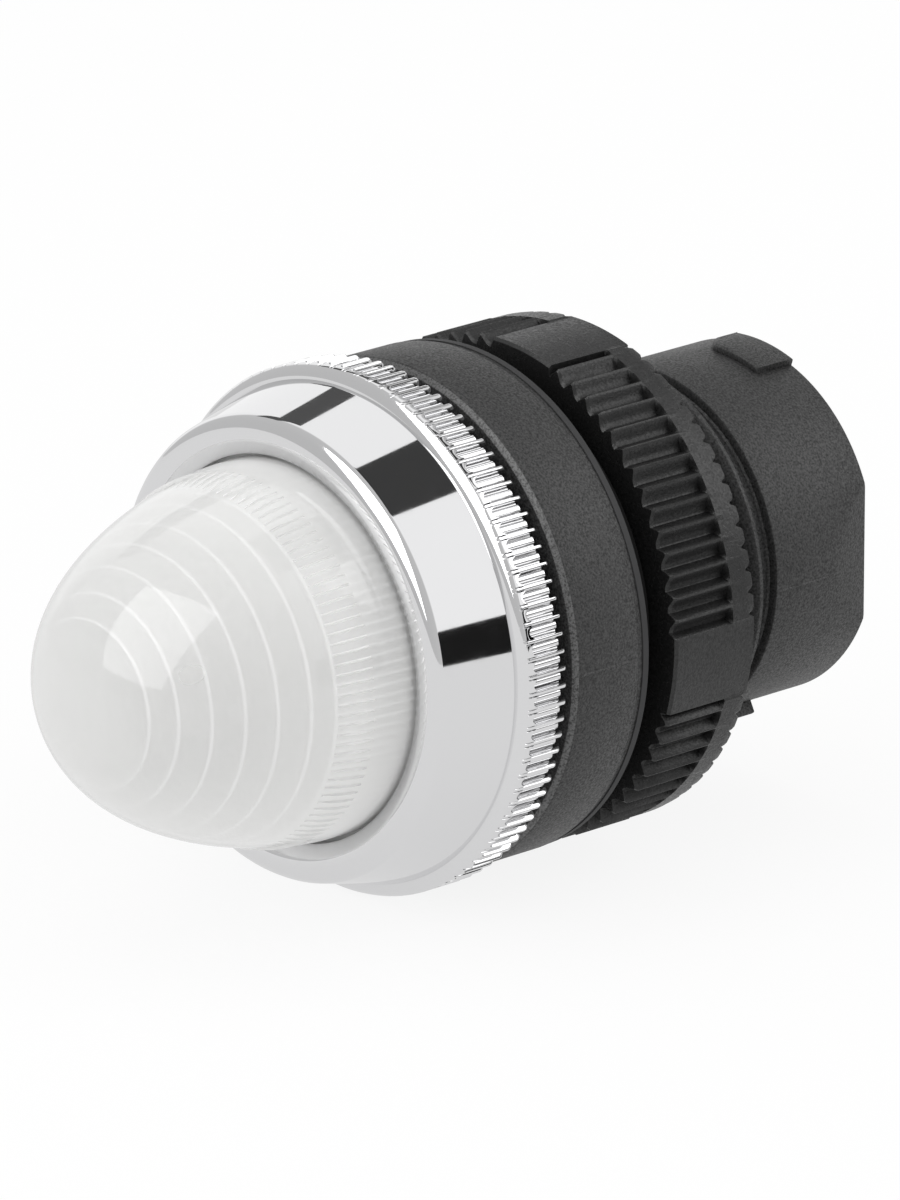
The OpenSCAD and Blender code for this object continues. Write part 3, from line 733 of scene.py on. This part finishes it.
# tent is the room's brightness in reflections, from straight ahead (0) to straight behind (1);
# a lamp has its place, aim and size in mm, its power, and whether reflections show it
studio = {
    "floorZ": -15.2, "floorSize": 1600, "floorColour": "F2F2F2", "shadowShare": 0.12, "whiteLevel": 1.0,
    "floorMirror": 0.78, "tableGlow": 0.9, "roomLevel": 0.8,
    "tent": [(0.0, 0.55), (0.52, 0.6), (0.6, 1.0), (0.74, 1.0), (0.79, 0.5), (1.0, 0.6)],
    "lamps": {
        "frontSoftbox": ((102, -488, 354), (0, -14, 0), (560, 560), 0.75, False),
        "overheadSoftbox": ((-120, -60, 520), (0, -4, 0), (360, 300), 0.35, False),
        "rearSoftbox": ((320, 400, 325), (0, 4, 0), (440, 440), 0.85, True),
    },
}


def seenDirectly(tree, path):
    # 1 for what the camera or a reflection sees, 0 for what only lights the object
    seen = addNode(tree, "ShaderNodeMath", {"operation": "MAXIMUM"},
                   {0: path.outputs["Is Camera Ray"], 1: path.outputs["Is Glossy Ray"]})
    seen = addNode(tree, "ShaderNodeMath", {"operation": "MAXIMUM"},
                   {0: seen.outputs[0], 1: path.outputs["Is Transmission Ray"]})
    return seen.outputs[0]


def paleFloor():
    # pale matt table top, seen as plain white that keeps a faint shadow
    c = studio
    material, tree = newMaterial("paleFloor")
    path = addNode(tree, "ShaderNodeLightPath")
    share = addNode(tree, "ShaderNodeMapRange",
                    {"From Min": 0.0, "From Max": 1.0,
                     "To Min": c["tableGlow"], "To Max": 1 - c["shadowShare"]},
                    {"Value": seenDirectly(tree, path)})
    matt = addNode(tree, "ShaderNodeBsdfDiffuse", {"Color": toLinear(c["floorColour"])})
    level = addNode(tree, "ShaderNodeMapRange",
                    {"From Min": 0.0, "From Max": 1.0, "To Min": c["whiteLevel"], "To Max": c["floorMirror"]},
                    {"Value": path.outputs["Is Glossy Ray"]})
    glow = addNode(tree, "ShaderNodeEmission", {"Color": (1, 1, 1, 1)}, {"Strength": level.outputs["Result"]})
    both = addNode(tree, "ShaderNodeMixShader", None,
                   {0: share.outputs[0], 1: matt.outputs[0], 2: glow.outputs[0]})
    addNode(tree, "ShaderNodeOutputMaterial", None, {"Surface": both.outputs[0]})
    return material


def makeFloor():
    deselectAll()
    bpy.ops.mesh.primitive_plane_add(size=studio["floorSize"] * mm, location=(0, 0, studio["floorZ"] * mm))
    floor = bpy.context.object
    floor.name = "studioFloor"
    floor.data.materials.append(paleFloor())


def makeWorld():
    c = studio
    world = bpy.data.worlds.new("studioWorld")
    bpy.context.scene.world = world
    world.use_nodes = True
    tree = world.node_tree
    tree.nodes.clear()
    path = addNode(tree, "ShaderNodeLightPath")
    # the white tent stands round the middle of the room, with dimmer walls before and behind it
    place = addNode(tree, "ShaderNodeTexCoord")
    split = addNode(tree, "ShaderNodeSeparateXYZ", None, {0: place.outputs["Generated"]})
    along = addNode(tree, "ShaderNodeMapRange", {"From Min": -1.0, "From Max": 1.0},
                    {"Value": split.outputs["Y"]})
    tent = addNode(tree, "ShaderNodeValToRGB", None, {"Fac": along.outputs["Result"]})
    stops = tent.color_ramp.elements
    while len(stops) < len(c["tent"]):
        stops.new(0.5)
    for stop, (at, grey) in zip(stops, c["tent"]):
        stop.position = at
        stop.color = (grey, grey, grey, 1)
    mirrored = addNode(tree, "ShaderNodeMix", {"data_type": "RGBA", 6: (1, 1, 1, 1)},
                       {0: path.outputs["Is Glossy Ray"], 7: tent.outputs["Color"]})
    shade = addNode(tree, "ShaderNodeRGBToBW", None, {0: mirrored.outputs[2]})
    level = addNode(tree, "ShaderNodeMix", {"data_type": "FLOAT", 2: c["roomLevel"]},
                    {0: seenDirectly(tree, path), 3: shade.outputs[0]})
    back = addNode(tree, "ShaderNodeBackground", {"Color": (1, 1, 1, 1)}, {"Strength": level.outputs[0]})
    addNode(tree, "ShaderNodeOutputWorld", None, {"Surface": back.outputs[0]})


def makeLight(name, place, aim, size, power, seen):
    lamp = bpy.data.lights.new(name, "AREA")
    lamp.shape = "RECTANGLE"
    lamp.size = size[0] * mm
    lamp.size_y = size[1] * mm
    lamp.energy = power
    holder = bpy.data.objects.new(name, lamp)
    bpy.context.scene.collection.objects.link(holder)
    holder.location = Vector(place) * mm
    holder.rotation_euler = (Vector(aim) * mm - holder.location).to_track_quat("-Z", "Y").to_euler()
    holder.visible_glossy = seen


# cards that only mirror-like surfaces see, as stood round a chrome part in a studio:
# direction from the light, the way the card's width runs, width and height in mm, brightness
cardSettings = {
    "distance": 420,
    "cards": {
        "topBlackCard": ((0.19, 0.278, 0.94), (0.97, -0.1, -0.17), (200, 150), 0.05),
        "sideBlackCard": ((0.968, 0.237, 0.012), (0, 0, 1), (176, 150), 0.012),
        "stripBlackCard": ((-0.637, 0.41, 0.652), (0.64, -0.19, 0.74), (88, 420), 0.09),
        "rearBlackCard": ((0.7, 0.7, -0.22), (0, 0, 1), (260, 300), 0.0),
        "frontWhiteCard": ((0.1, -0.72, 0.6), (1, 0, 0), (430, 470), 2.9),
        "rearWhiteCard": ((-0.66, 0.74, 0.15), (0.7, 0.7, 0), (320, 280), 1.0),
    },
}


def makeCard(name, direction, across, size, brightness):
    material, tree = newMaterial(name)
    shine = addNode(tree, "ShaderNodeEmission", {"Color": (1, 1, 1, 1), "Strength": brightness})
    addNode(tree, "ShaderNodeOutputMaterial", None, {"Surface": shine.outputs[0]})
    away = Vector(direction).normalized()
    wide = Vector(across)
    wide = (wide - away * wide.dot(away)).normalized()
    high = away.cross(wide)
    deselectAll()
    bpy.ops.mesh.primitive_plane_add(size=1)
    card = bpy.context.object
    card.name = name
    stretched = Matrix((wide * size[0] * mm, high * size[1] * mm, away)).transposed().to_4x4()
    card.matrix_world = Matrix.Translation(away * cardSettings["distance"] * mm) @ stretched
    card.data.materials.append(material)
    card.visible_camera = card.visible_diffuse = card.visible_shadow = card.visible_transmission = False


cameraSettings = {
    "azimuth": 47.312, "elevation": 18.298, "distance": 662.95, "aim": (-0.62, -0.81, -0.28),
    "lens": 360.0, "sensor": 36.0, "clipEnd": 20.0,
}


def makeCamera():
    c = cameraSettings
    azimuth, elevation = math.radians(c["azimuth"]), math.radians(c["elevation"])
    level = math.cos(elevation)
    away = Vector((math.sin(azimuth) * level, -math.cos(azimuth) * level, math.sin(elevation)))
    camera = bpy.data.cameras.new("productCamera")
    camera.lens = c["lens"]
    camera.sensor_width = c["sensor"]
    camera.clip_end = c["clipEnd"]
    holder = bpy.data.objects.new("productCamera", camera)
    bpy.context.scene.collection.objects.link(holder)
    holder.location = (Vector(c["aim"]) + away * c["distance"]) * mm
    holder.rotation_euler = (-away).to_track_quat("-Z", "Y").to_euler()
    bpy.context.scene.camera = holder


makeFloor()
makeWorld()
for cardName, card in cardSettings["cards"].items():
    makeCard(cardName, *card)
for lampName, lamp in studio["lamps"].items():
    makeLight(lampName, *lamp)
makeCamera()
bpy.context.scene.view_settings.view_transform = "Standard"
print("studio ready")
